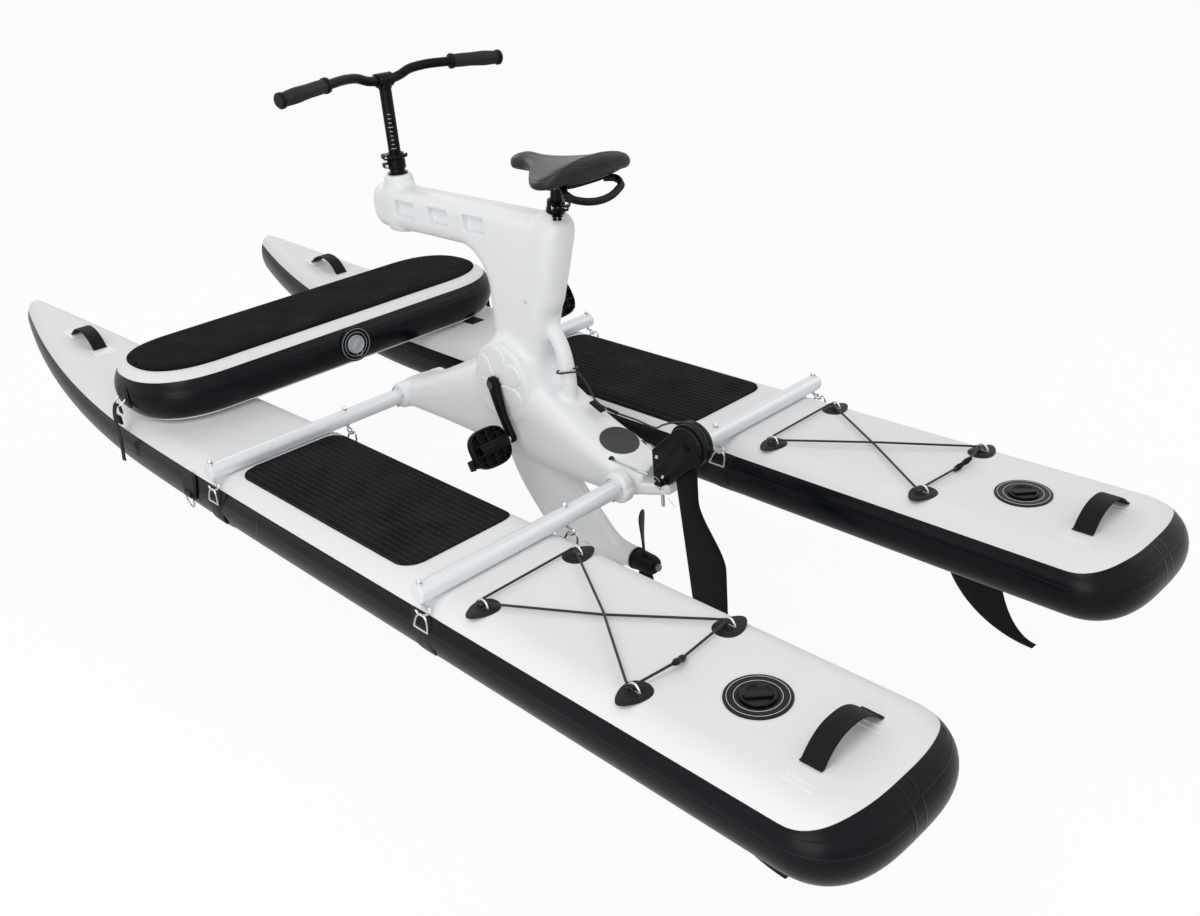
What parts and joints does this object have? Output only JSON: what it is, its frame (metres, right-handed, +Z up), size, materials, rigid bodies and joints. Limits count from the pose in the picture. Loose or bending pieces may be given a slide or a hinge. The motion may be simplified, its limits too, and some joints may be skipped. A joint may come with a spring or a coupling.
{
  "type": "inflatable water bike",
  "caption": "Pedal catamaran: inflatable pontoons and cross bench carry a moulded bike body with cranks, geared propeller, steered kick-up rudder, saddle and handlebar on cross bars.",
  "frame": {"origin": "centre of the bounding box in plan, at the height of the rudder blade's tip", "axes": "+Y towards the bow, +X to starboard, +Z up"},
  "size_m": [1.3022, 3.3484, 1.2488],
  "materials": {
    "white_shell": "moulded white plastic, satin",
    "bar_paint": "pale silver-white powder paint",
    "hull_pvc": "white and black PVC-coated drop-stitch fabric",
    "black_plastic": "moulded black plastic, fine grain",
    "black_metal": "black anodised or painted, satin",
    "foam": "embossed EVA foam",
    "soft_black": "padded cover, matt",
    "rubber": "matt rubber",
    "stainless": "bright stainless steel",
    "gear_steel": "cut steel",
    "webbing": "woven polyester webbing",
    "cord": "braided cord"
  },
  "bodies": {
    "craft": {"pontoon_left": "hull_pvc", "pontoon_right": "hull_pvc", "bench": "hull_pvc", "deck_pad_left": "foam", "deck_pad_right": "foam", "bench_pad": "foam", "handle_stern_left": "webbing", "handle_stern_right": "webbing", "handle_bow_left": "webbing", "handle_bow_right": "webbing", "bench_strap_left": "webbing", "bench_strap_right": "webbing", "fin_left": "black_plastic", "fin_right": "black_plastic", "hatch_plug": "black_plastic", "bungee_left": "cord", "bungee_right": "cord", "lift_cord": "cord", "bar_front": "bar_paint", "bar_rear": "bar_paint", "hook_front_left_outer": "stainless", "hook_front_left_inner": "stainless", "hook_front_right_outer": "stainless", "hook_front_right_inner": "stainless", "hook_rear_left_outer": "stainless", "hook_rear_left_inner": "stainless", "hook_rear_right_outer": "stainless", "hook_rear_right_inner": "stainless", "shaft_seal": "stainless", "rudder_pin": "stainless", "steering_cable": "stainless", "bike_body": "white_shell", "drive_leg": "white_shell", "side_cover_left": "white_shell", "side_cover_right": "white_shell", "seat_collar": "black_metal"},
    "cranks": {"crank_axle": "stainless", "crown_gear": "gear_steel", "crank_left": "black_metal", "crank_right": "black_metal"},
    "pedal_port": {"pedal_left": "black_plastic"},
    "pedal_starboard": {"pedal_right": "black_plastic"},
    "inner_shaft": {"drive_shaft": "gear_steel"},
    "screw": {"propeller_shaft": "gear_steel", "propeller": "black_plastic"},
    "steering": {"steerer": "black_metal", "steering_collar": "black_metal"},
    "steering_clamp_lever": {"steering_lever": "black_metal"},
    "bars": {"steering_post": "black_metal", "stem_clamp": "black_metal", "handlebar": "black_metal", "grip_left": "rubber", "grip_right": "rubber"},
    "rudder_mount": {"rudder_head": "black_plastic", "rudder_bolt": "stainless"},
    "blade": {"rudder_blade": "black_plastic"},
    "seat": {"seat_post": "black_metal", "saddle": "soft_black", "saddle_base": "black_plastic"},
    "seat_clamp_lever": {"seat_lever": "black_metal"}
  },
  "joints": [
    {"name": "crank", "type": "hinge", "parent": "craft", "child": "cranks", "pos_m": [0, -0.31906, 0.57], "axis": [1, 0, 0], "continuous": true},
    {"name": "pedal_port_spin", "type": "hinge", "parent": "cranks", "child": "pedal_port", "pos_m": [0, -0.36507, 0.44628], "axis": [1, 0, 0], "continuous": true},
    {"name": "pedal_starboard_spin", "type": "hinge", "parent": "cranks", "child": "pedal_starboard", "pos_m": [0, -0.27304, 0.69372], "axis": [1, 0, 0], "continuous": true},
    {"name": "shaft_spin", "type": "hinge", "parent": "craft", "child": "inner_shaft", "pos_m": [0, -0.48906, 0.183], "axis": [0, -0.4022, -0.9156], "continuous": true},
    {"name": "propeller_spin", "type": "hinge", "parent": "craft", "child": "screw", "pos_m": [0, -0.48906, 0.183], "axis": [0, -1, 0], "continuous": true},
    {"name": "steer", "type": "hinge", "parent": "craft", "child": "steering", "pos_m": [0, 0.07894, 0.995], "axis": [0, 0, 1], "range_deg": [-40, 40], "deforming": ["steering_cable", "lift_cord"]},
    {"name": "steering_lever_open", "type": "hinge", "parent": "steering", "child": "steering_clamp_lever", "pos_m": [-0.03098, 0.07177, 1.03942], "axis": [0, 0, -1], "range_deg": [0, 120]},
    {"name": "bar_height", "type": "slide", "parent": "steering", "child": "bars", "axis": [0, 0, 1], "range_m": [-0.02, 0.045]},
    {"name": "rudder_yaw", "type": "hinge", "parent": "craft", "child": "rudder_mount", "pos_m": [0, -0.75406, 0.44], "axis": [0, 0, 1], "range_deg": [-39, 39]},
    {"name": "rudder_kick_up", "type": "hinge", "parent": "rudder_mount", "child": "blade", "pos_m": [0, -0.84706, 0.532], "axis": [-1, 0, 0], "range_deg": [0, 100], "deforming": ["lift_cord"]},
    {"name": "seat_height", "type": "slide", "parent": "craft", "child": "seat", "axis": [0, -0.2079, 0.9781], "range_m": [-0.018, 0.06]},
    {"name": "seat_lever_open", "type": "hinge", "parent": "craft", "child": "seat_clamp_lever", "pos_m": [-0.00085, -0.52111, 0.9885], "axis": [0, 0.2079, -0.9781], "range_deg": [0, 120]}
  ],
  "couplings": [
    {"joint": "shaft_spin", "follows": "crank", "ratio": -3},
    {"joint": "propeller_spin", "follows": "crank", "ratio": -4.5},
    {"joint": "rudder_yaw", "follows": "steer", "ratio": -0.97}
  ]
}
